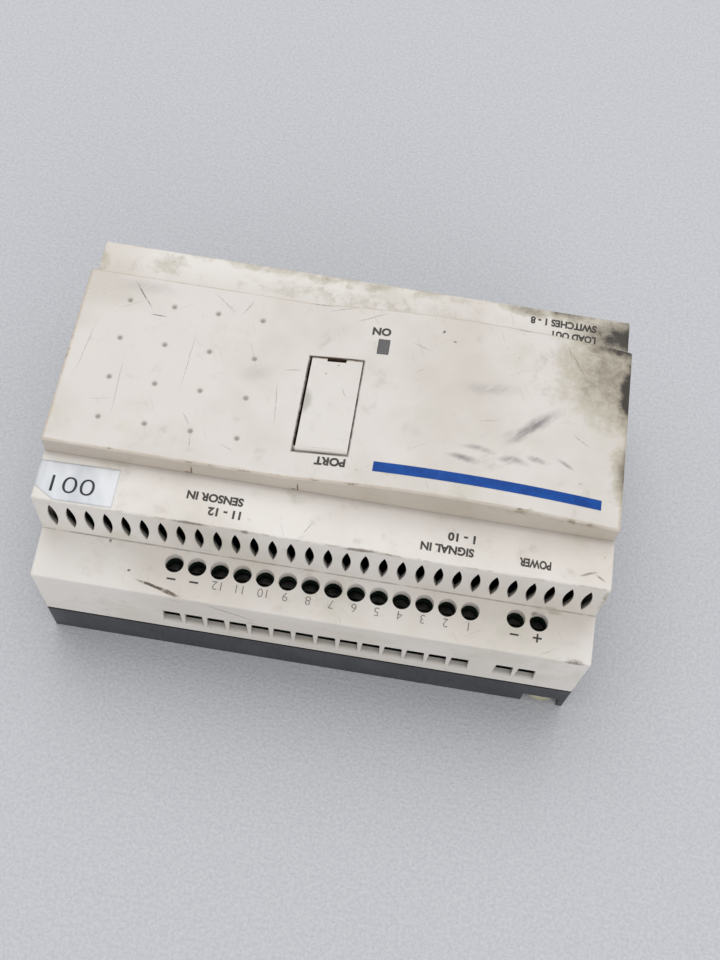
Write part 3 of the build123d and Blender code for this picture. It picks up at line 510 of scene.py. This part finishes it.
def cover_polycarbonate():
    """The cover's cream with its own marks; scratches are long thin marks, smears wide faint ones."""
    material, tree, at = blank("aged_cream_polycarbonate_cover")
    colour = aged_cream(tree, at)
    deep = 20
    smears = [((-41.2, 2.2, 57), (10, 2.1, deep), 44, 1.0), ((-36, 5, 57), (3, 1.4, deep), 40, 0.3),
              ((-27, 12.6, 58), (4.6, 1.2, deep), -6, 0.9), ((-30, 9.8, 58), (5, 1.1, deep), -6, 0.65),
              ((-37.5, 11.2, 58), (4.4, 1.4, deep), 4, 0.75), ((-43, 10, 58), (3.4, 0.9, deep), -14, 0.75),
              ((-49, 9.6, 58), (3, 0.7, deep), -24, 0.7), ((-31, -5.5, 58), (9, 2.4, deep), 8, 0.35),
              ((20, -2, 57), (6, 3, deep), 20, 0.16), ((48, -19.5, 56), (10, 2.4, deep), 0, 0.22)]
    smears = [(*mark, 1.0) for mark in smears]
    along = node(tree, "ShaderNodeMapping", {"Vector": at, "Rotation": (0, 0, radians(-44))})
    rubbed = times(tree, scuffs(tree, ripple(tree, at, 3.5, 1.6), smears),
                   ramp(tree, grain(tree, along, 0.8, 4.0, 0.6, (5, 1, 1)), 0.15, 0.6))
    colour = tint(tree, colour, linear("#887f80"), rubbed)
    scratches = [((44.4, -12.6, 56), (2.4, 0.22, 2), 0, 0.85), ((48.7, -17.3, 56), (5.6, 0.2, 2), -52, 0.85),
                 ((25.1, -18.1, 56), (3.1, 0.12, 2), 65, 0.6), ((30.4, -18.7, 56), (5.3, 0.12, 2), -38, 0.55),
                 ((31.0, 17.3, 56), (3.2, 0.12, 2), -83, 0.55), ((32.8, 12.3, 56), (2.6, 0.12, 2), -54, 0.5),
                 ((35.4, -2, 56), (10, 0.1, 2), 88, 0.5), ((49.2, 6.5, 56), (10.5, 0.1, 2), 92, 0.5),
                 ((14.6, 5, 56), (7, 0.12, 2), 96, 0.55), ((58.3, -1.5, 56), (10.5, 0.1, 2), 84, 0.45),
                 ((-37.2, -22, 58), (2.6, 0.18, 3), -4, 0.8), ((-33.8, -23.2, 58), (1.8, 0.2, 3), 43, 0.85),
                 ((-50, -15.8, 58), (4.9, 0.22, 3), -58, 0.8), ((-47.9, -18.6, 58), (2.2, 0.16, 3), -70, 0.7),
                 ((12.2, -4, 57), (2.6, 0.12, 2), 9, 0.6), ((-15, -13.6, 58), (3.4, 0.14, 3), -22, 0.55),
                 ((-31.5, 2.6, 58), (3.6, 0.12, 3), 12, 0.5), ((-52, 3.2, 58), (2.6, 0.16, 3), -30, 0.5),
                 ((52, 10.6, 56), (3.2, 0.12, 2), 12, 0.4), ((23, 17.5, 56), (2.4, 0.14, 2), -20, 0.4),
                 ((-3, -19.8, 58), (4.6, 0.14, 3), 24, 0.55), ((3.4, -21.4, 57), (4.4, 0.14, 3), 14, 0.5),
                 ((-19.3, -18.2, 59), (0.6, 0.35, 3), 70, 0.9), ((-22, -16, 59), (0.6, 0.3, 3), 0, 0.7)]
    rub = ramp(tree, grain(tree, at, 0.7, 3.0, 0.6), 0.3, 0.5)
    scored = scuffs(tree, ripple(tree, at, 2.0, 0.5), scratches)
    colour = tint(tree, colour, linear("#4e453e"), times(tree, scored, rub))
    broken = grain(tree, at, 1.8, 5.0, 0.7, (3, 1, 1))
    away = node(tree, "ShaderNodeVectorMath", {0: at}, operation="ABSOLUTE")
    edge = larger(tree, ramp(tree, axis_of(tree, away, "Y"), COVER_HALF - 0.7, COVER_HALF - 0.3),
                  ramp(tree, axis_of(tree, away, "X"), HOUSING_END - 0.9, HOUSING_END - 0.4))
    facing_up = axis_of(tree, node(tree, "ShaderNodeTexCoord", out="Normal"), "Z")
    # Painted shade: near the cover's edges, faces that turn away from up are tinted a darker tan, as side
    # faces in shade.
    painted_flank_shade = times(tree, edge, ramp(tree, facing_up, 0.5, 0.1, 0, 0.45))
    colour = tint(tree, colour, linear("#ac9c86"), painted_flank_shade)
    rim = times(tree, edge, ramp(tree, facing_up, 0.25, 0.7))
    colour = tint(tree, colour, linear("#c7b8a4"), times(tree, rim, ramp(tree, broken, 0.35, 0.6, 0.3, 0.8)))
    colour = tint(tree, colour, linear("#4e4136"), times(tree, rim, ramp(tree, broken, 0.6, 0.68, 0, 0.85)))
    seams = [((6.7, 22.5, 53), (0.22, 1, 2.4), 0, 0.9, 0.5), ((29.75, 22.5, 53), (0.22, 1, 2.4), 0, 0.9, 0.5),
             ((7.6, 22.5, 52), (0.9, 1, 0.5), 0, 0.8, 0.9), ((30.6, 22.5, 52), (1.2, 1, 0.5), 0, 0.8, 0.9)]
    colour = tint(tree, colour, linear("#6b4c33"), scuffs(tree, at, seams))
    gap = opening_line(tree, at, PORT_MIDDLE, PORT_REACH, 0.42)
    colour = tint(tree, colour, linear("#4c3b2e"), times(tree, gap, ramp(tree, broken, 0.3, 0.6, 0.6, 1.0)))
    # Painted shade: the sixteen dimples are tinted grey for the shade in their hollows.
    painted_dimple_shade = [((x, y, FLAT_Z - 0.3), (1.25, 1.25, 0.29), 0, 0.85, 0.9)
             for x in np.linspace(21.25, 51.5, 4).tolist() for y in np.linspace(-15.5, 14.95, 4).tolist()]
    colour = tint(tree, colour, linear("#8b847a"), scuffs(tree, at, painted_dimple_shade))
    colour = grimed(tree, at, colour, [((-64, -12, 57), (9, 19, 9), 0, 1.35, 1.0),
                                       ((-60, -14, 58), (27, 22, 9), 0, 0.72, 1.0),
                                       ((-62, -23, 57), (22, 8, 9), 0, 1.05, 1.0),
                                       ((-63, 8, 57), (6, 14, 9), 0, 0.95, 1.0),
                                       ((-53, 22.5, 57), (9, 0.9, 2), 0, 0.75, 0.9),
                                       ((62.3, 0, 56.5), (0.9, 24, 2), 0, 0.65, 0.9),
                                       ((-40, 22.5, 58), (9, 0.6, 2), 0, 0.55, 0.9)])
    cream_surface(tree, at, colour)
    return material


dress(cover_polycarbonate(), "front_cover")


# ---------------------------------------------------------------- port hatch
# A small flap of the same blend that turns on two moulded pins. It is a little cleaner than the
# cover, but for one half-moon smudge near its edge and the dirt that gathers in the gap round it.

def hatch_polycarbonate():
    """The flap's cream: paler than the cover, with a smudge, two scratches and tan edges."""
    material, tree, at = blank("aged_cream_polycarbonate_hatch")
    colour = tint(tree, aged_cream(tree, at), linear("#e2ddd6"), 0.35)
    marks = [((8.6, 3.2, 56), (2.2, 3.9, 9), 0, 0.5), ((2.6, -6.4, 57), (0.5, 0.28, 9), 40, 0.7),
             ((0.4, 0.4, 57), (1.6, 0.14, 9), -62, 0.6), ((5, -4, 57), (0.35, 0.3, 9), 0, 0.6)]
    colour = tint(tree, colour, linear("#8f8b7c"), scuffs(tree, ripple(tree, at, 3.0, 1.0), marks))
    low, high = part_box("port_hatch")
    middle, reach = (low + high) / 2 / MM, (high - low) / 2 / MM
    edge = opening_line(tree, at, (middle.x, middle.y), (reach.x - 0.75, reach.y), 0.4)
    dirt = ramp(tree, grain(tree, at, 1.4, 4.0), 0.3, 0.6, 0.5, 1.0)
    colour = tint(tree, colour, linear("#8d7a63"), times(tree, edge, dirt))
    cream_surface(tree, at, colour)
    return material


dress(hatch_polycarbonate(), "port_hatch")


# ---------------------------------------------------------------- status window
# A smoked polycarbonate light guide set a little below the cover's face. It looks nearly black
# until the lamp under it is lit; its face is dusty and finely scratched.

dress(moulding("smoked_polycarbonate", "#2f2d2d", "#46413f", 1.5, 0.4, 0.02, 0.32, Coat_Weight=0.4),
      "status_light_guide")


# ---------------------------------------------------------------- stripe and lettering
# Pad-printed ink, a few hundredths of a millimetre thick: one blue stripe on the arch, bold grey
# legends beside the terminals and thin grey numbers at the screw holes. All wording is generic.

def ink(name, pale, deep, gap):
    """Printed ink: the tone is a little uneven, and gap sets how much has rubbed thin."""
    material, tree, at = blank(name)
    drift = grain(tree, at, 2.2, 5.0, 0.65)
    colour = tint(tree, linear(pale), linear(deep), ramp(tree, drift, 0.35, 0.65))
    colour = tint(tree, colour, linear("#b5ada3"), ramp(tree, grain(tree, at, 0.5, 3.0), 0.64, 0.8, 0, gap))
    finish(tree, colour, 0.5, grain(tree, at, 0.35, 3.0, 0.6), 0.018, Specular_IOR_Level=0.2)
    return material


INK_LIFT = 0.04
stripe_x = np.linspace(-57.5, -8.5, 64)[:, None]
stripe_y = np.linspace(16.38, 18.73, 3)[None, :]
stripe_grid = np.broadcast_arrays(stripe_x, stripe_y, arch_z(stripe_x) + INK_LIFT)
stripe = skin("front_stripe", np.stack(stripe_grid, -1))
stripe.data.flip_normals()
stripe.data.materials.append(ink("blue_pad_printing_ink", "#0b4c9e", "#08408c", 0.1))
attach(stripe, "root")


def letter_points(words, weight):
    """Mesh of the words, one unit high at the capitals, starting at x = 0 on the line y = 0."""
    curve = bpy.data.curves.new("letters", "FONT")
    curve.body = words
    curve.offset = weight
    curve.resolution_u = 5
    holder = bpy.data.objects.new("letters", curve)
    bpy.context.scene.collection.objects.link(holder)
    bpy.context.view_layer.update()
    mesh = bpy.data.meshes.new_from_object(holder.evaluated_get(bpy.context.evaluated_depsgraph_get()))
    bpy.data.objects.remove(holder)
    points = np.zeros(len(mesh.vertices) * 3)
    mesh.vertices.foreach_get("co", points)
    return mesh, points.reshape(-1, 3)


CAPITAL = np.ptp(letter_points("H", 0.0)[1][:, 1])


def printed(name, words, x, y, height, lay, material, width=None, centred=False, weight=0.0,
            body="root"):
    """Words of a capital height at x and y in millimetres, fitted to a width, then laid on a face by
    lay, which turns the flat x and y into places."""
    mesh, points = letter_points(words, weight)
    across = points[:, 0] - points[:, 0].min()
    across *= width / across.max() if width else height / CAPITAL
    across -= across.max() / 2 if centred else 0.0
    places = lay(x + across, y + points[:, 1] * height / CAPITAL) * MM
    mesh.vertices.foreach_set("co", places.ravel())
    mesh.update()
    mesh.materials.clear()
    mesh.materials.append(material)
    mesh.name = name
    piece = bpy.data.objects.new(name, mesh)
    bpy.context.scene.collection.objects.link(piece)
    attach(piece, body)
    return piece


def on_front(x, y):
    """Places just above the arched front face."""
    return np.stack([x, y, arch_z(x) + INK_LIFT + 0.03], -1)


def on_shoulder(x, y):
    """Places just above the flat shoulder."""
    return np.stack([x, y, np.full_like(x, SHOULDER_Z + INK_LIFT)], -1)


def on_shelf(x, y):
    """Places just above the terminal shelf, which falls outwards from its crease to its edge."""
    share = (np.abs(y) - CREASE_Y) / (SHELF_EDGE_Y - CREASE_Y)
    return np.stack([x, y, CREASE_Z + (SHELF_EDGE_Z - CREASE_Z) * share + INK_LIFT], -1)


BOLD = 0.04
grey_ink = ink("grey_pad_printing_ink", "#54504c", "#3f3c39", 0.35)
pale_ink = ink("pale_grey_pad_printing_ink", "#8f8a85", "#76716c", 0.3)
printed("print_lamp", "ON", -5.6, -17.15, 1.8, on_front, grey_ink, None, True, BOLD)
printed("print_port", "PORT", -2.6, 16.8, 1.75, on_front, grey_ink, 6.6, False, BOLD)
printed("print_supply", "POWER", -49.0, 29.8, 1.75, on_shoulder, grey_ink, 6.8, False, BOLD)
printed("print_signal_line_1", "SIGNAL IN", -32.5, 29.7, 1.75, on_shoulder, grey_ink, 11.4, False, BOLD)
printed("print_signal_line_2", "1 - 10", -32.5, 26.6, 1.75, on_shoulder, grey_ink, 5.9, False, BOLD)
printed("print_sensor_line_1", "11 - 12", 17.5, 29.7, 1.75, on_shoulder, grey_ink, 7.1, False, BOLD)
printed("print_sensor_line_2", "SENSOR IN", 17.5, 26.6, 1.75, on_shoulder, grey_ink, 12.2, False, BOLD)
printed("print_load_line_1", "LOAD OUT", -54.4, -28.4, 1.75, on_shoulder, grey_ink, 10.6, False, BOLD)
printed("print_load_line_2", "SWITCHES 1 - 8", -54.4, -31.5, 1.75, on_shoulder, grey_ink, 15.4, False, BOLD)

PITCH = 5.08
FIRST_X = 31.5
INPUT_COUNT = 12
for k in range(INPUT_COUNT):
    printed(f"print_input_{INPUT_COUNT - k}", str(INPUT_COUNT - k), FIRST_X - PITCH * (k + 2), 39.85, 1.95,
            on_shelf, pale_ink, None, True, -0.012)


def bar(name, x, y, half_x, half_y):
    """Short printed bar on the shelf."""
    gx, gy = np.meshgrid(np.linspace(x - half_x, x + half_x, 3), np.linspace(y - half_y, y + half_y, 3),
                         indexing="ij")
    piece = skin(name, on_shelf(gx, gy))
    piece.data.flip_normals()
    piece.data.materials.append(grey_ink)
    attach(piece, "root")


SIGN_HALF, SIGN_STROKE = 0.98, 0.2
for name, step in (("minus_a", 0), ("minus_b", 1), ("minus_supply", 15), ("plus_supply", 16)):
    bar(f"print_{name}", FIRST_X - PITCH * step, 40.9, SIGN_HALF, SIGN_STROKE)
for side in (-1, 1):
    arm = (SIGN_HALF - SIGN_STROKE) / 2
    bar(f"print_plus_arm_{'low' if side < 0 else 'high'}", FIRST_X - PITCH * 16,
        40.9 + side * (SIGN_STROKE + arm), SIGN_STROKE, arm)


# ---------------------------------------------------------------- marking tape
# A strip of laminated label tape that a user stuck on the shoulder and turned down over the end.
# Its outer corner has lifted and been cut away, and the clear film over it is glossy and creased.

TAPE_START, TAPE_END = 44.75, HOUSING_END
TAPE_Y = (24.4, 33.5)
TAPE_FOOT_Z = 44.7
TAPE_BEND = 0.6
TAPE_THICK = 0.1


def tape_place(s, across):
    """The tape's path by length: along the shoulder, round a quarter circle, and down the end."""
    flat = TAPE_END - 0.45 - TAPE_START
    turn = np.clip((s - flat) / TAPE_BEND, 0, pi / 2)
    down = np.maximum(s - flat - TAPE_BEND * pi / 2, 0)
    x = TAPE_START + np.minimum(s, flat) + TAPE_BEND * np.sin(turn)
    z = SHOULDER_Z + TAPE_THICK - TAPE_BEND * (1 - np.cos(turn)) - down
    return np.stack([x, across, z], -1)


def marking_tape():
    """Grid over the tape: the edges lean a little, and the outer corner is cut off at a slant."""
    length = TAPE_END - 0.45 - TAPE_START + TAPE_BEND * pi / 2 + (SHOULDER_Z - TAPE_BEND - TAPE_FOOT_Z)
    s = np.linspace(0, length, 90)[:, None]
    v = np.linspace(0, 1, 24)[None, :]
    inner = TAPE_Y[0] + 0.025 * np.minimum(s, 17)
    outer = TAPE_Y[1] + 0.018 * np.minimum(s, 17) - 0.62 * np.clip(s - 12.6, 0, 8)
    across = inner + (outer - inner) * v
    return skin("marking_tape", tape_place(np.broadcast_to(s, across.shape), across))


def laminated_tape():
    """White tape under clear film: nearly white, cool, with soft creases and a sharp gloss."""
    material, tree, at = blank("laminated_marking_tape")
    crease = grain(tree, at, 5, 2.0, 0.5, (1, 3, 1))
    colour = tint(tree, linear("#dcdee0"), linear("#c3c6ca"), ramp(tree, crease, 0.4, 0.7))
    dull = ramp(tree, axis_of(tree, at, "X"), 59.6, 62.2, 0, 0.7)
    colour = tint(tree, colour, linear("#8d9096"), times(tree, dull, ramp(tree, crease, 0.2, 0.6)))
    finish(tree, colour, 0.22, crease, 0.08, Coat_Weight=0.6, Coat_Roughness=0.12)
    return material


tape = marking_tape()
tape.data.flip_normals()
tape.data.materials.append(laminated_tape())
backing = tape.modifiers.new("thickness", "SOLIDIFY")
backing.thickness = (TAPE_THICK - 0.02) * MM
backing.offset = -1.0
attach(tape, "root")
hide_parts("user_label")


def on_tape(x, y):
    """Places just above the tape, on a line that leans with it."""
    return np.stack([x, y + 0.02 * (x - TAPE_START), np.full_like(x, SHOULDER_Z + TAPE_THICK + 0.05)], -1)


ribbon_ink = ink("black_ribbon_ink", "#3c3f44", "#2c2f33", 0.1)
printed("print_tape_number", "001", 49.2, 27.7, 3.9, on_tape, ribbon_ink, 9.4, False, -0.012, "root")


# ---------------------------------------------------------------- floor, light and camera
# A pale blue-grey sheet under broad soft light from above, a little from the far side, and a
# camera held close above the module's input side.

def floor_sheet():
    """Plain pale sheet with a very fine nap."""
    material, tree, at = blank("pale_floor")
    nap = grain(tree, at, 0.8, 3.0, 0.7)
    colour = tint(tree, linear("#c3c4c8"), linear("#cfd0d3"), ramp(tree, nap, 0.35, 0.65))
    finish(tree, colour, 0.75, nap, 0.25)
    return material


gx, gy = np.meshgrid(np.linspace(-3000, 3000, 3), np.linspace(-3000, 3000, 3), indexing="ij")
floor = skin("floor", np.stack([gx, gy, np.full_like(gx, -0.05)], -1))
floor.data.flip_normals()
floor.data.materials.append(floor_sheet())
floor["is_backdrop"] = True

world = bpy.data.worlds.new("room")
world.use_nodes = True
world.node_tree.nodes["Background"].inputs["Color"].default_value = linear("#edeef1")
world.node_tree.nodes["Background"].inputs["Strength"].default_value = 0.82
bpy.context.scene.world = world


def panel(name, place, target, size, watts):
    """Square soft light at a place, aimed at a target."""
    data = bpy.data.lights.new(name, "AREA")
    data.size = size
    data.energy = watts
    lamp = bpy.data.objects.new(name, data)
    bpy.context.scene.collection.objects.link(lamp)
    lamp.location = place
    lamp.rotation_mode = "QUATERNION"
    lamp.rotation_quaternion = (Vector(target) - Vector(place)).to_track_quat("-Z", "Y")


panel("ceiling_panel", (0.1, -0.55, 1.3), (0, 0, 0.03), 1.1, 6)
panel("window_fill", (-0.6, 1.2, 0.8), (0, 0, 0.03), 0.9, 3.5)

CAMERA_PLACE = Vector((-0.011875, 0.143763, 0.301830))
CAMERA_TARGET = Vector((-0.005661, 0.006787, 0.030))
CAMERA_ROLL = 6.785
camera_data = bpy.data.cameras.new("camera")
camera_data.sensor_width = 36.0
camera_data.lens = 48.645
camera = bpy.data.objects.new("camera", camera_data)
bpy.context.scene.collection.objects.link(camera)
camera.location = CAMERA_PLACE
camera.rotation_mode = "QUATERNION"
camera.rotation_quaternion = ((CAMERA_TARGET - CAMERA_PLACE).to_track_quat("-Z", "Y")
                              @ Quaternion((0, 0, 1), radians(CAMERA_ROLL)))
bpy.context.scene.camera = camera
bpy.context.scene.view_settings.view_transform = "Standard"

low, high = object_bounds()
